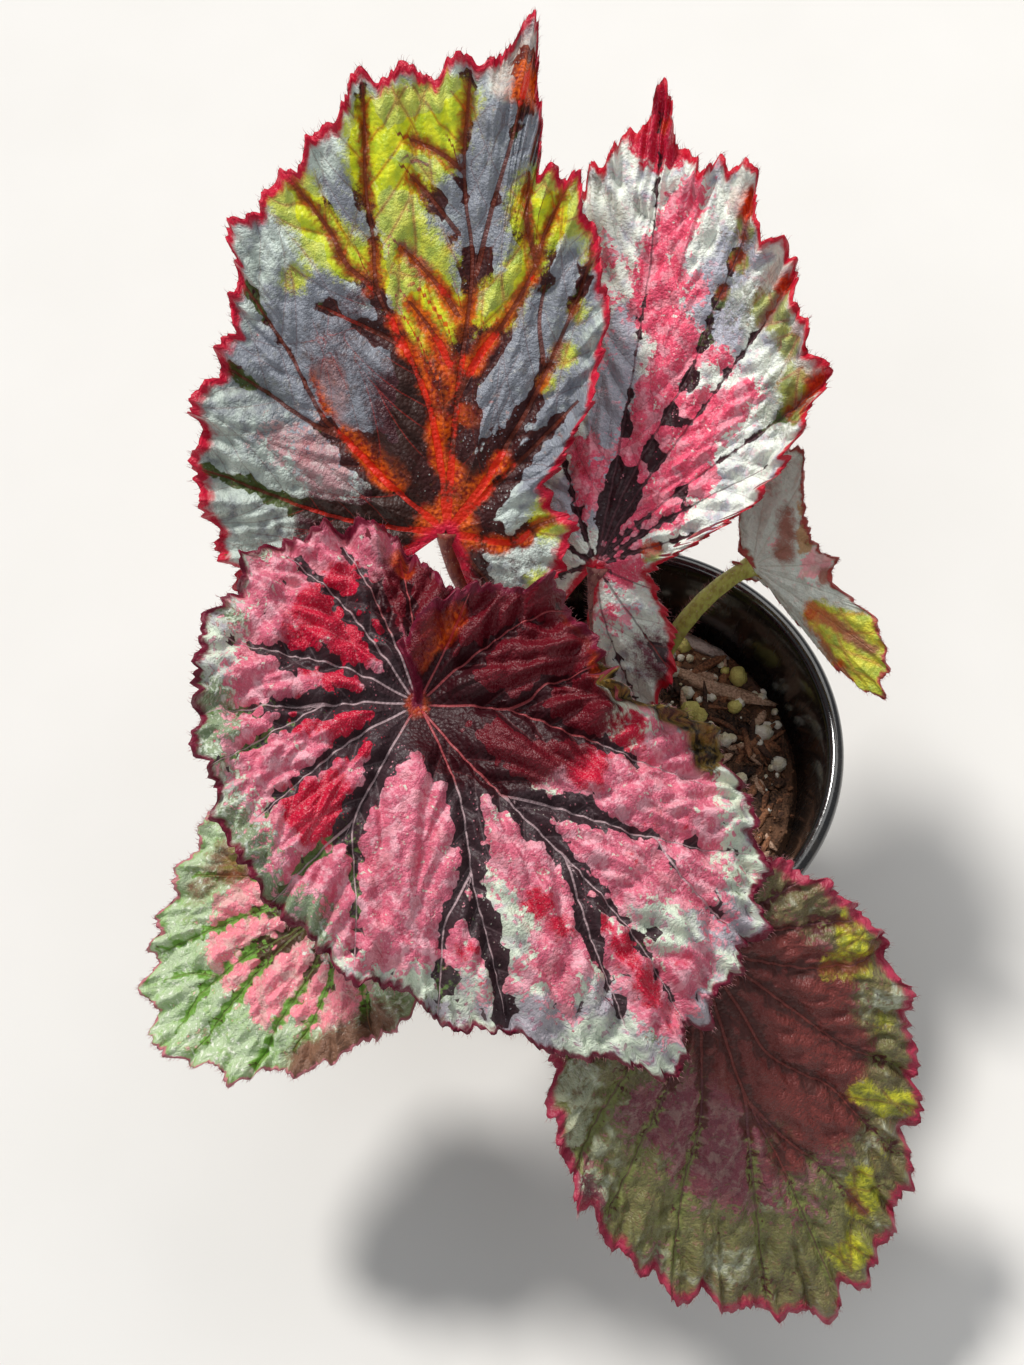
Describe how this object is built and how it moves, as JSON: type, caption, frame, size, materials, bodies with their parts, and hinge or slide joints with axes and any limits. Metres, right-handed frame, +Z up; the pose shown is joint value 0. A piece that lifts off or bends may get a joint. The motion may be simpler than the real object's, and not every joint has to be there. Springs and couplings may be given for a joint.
{
  "type": "potted rex begonia",
  "caption": "Rex begonia with broad crinkled asymmetric leaves on fleshy stalks from a creeping rhizome, in gritty mix in a round black nursery pot.",
  "frame": {"origin": "centre of the pot's flat base, on the surface it stands on", "axes": "+Z up out of the pot; +Y away from the side that the picture is taken from; +X to the right in it"},
  "size_m": [0.1897, 0.269, 0.2275],
  "materials": {
    "pot_plastic": "black moulded polypropylene, half gloss, with a polished rolled lip",
    "potting_mix": "dark bark and coir crumbs with pale perlite grains, matte",
    "rhizome": "brown scarred skin with fine hairs, matte",
    "leaf_wine": "wine red and rose patches on a dark centre, with a fine metallic sheen",
    "leaf_silver": "silver and yellow-green patches with dark veins and a crimson edge, sheened",
    "leaf_pink": "bright pink patches, silver margin and dark brown veins, sheened",
    "leaf_green": "silvery green between darker green veins with a crimson edge, sheened"
  },
  "bodies": {
    "root": {"pot": "pot_plastic", "potting_mix": "potting_mix", "rhizome": "rhizome", "leaf_front": "leaf_wine", "leaf_backlit": "leaf_silver", "leaf_pink": "leaf_pink", "leaf_hanging": "leaf_wine", "leaf_low": "leaf_green", "leaf_young": "leaf_green"}
  },
  "joints": []
}
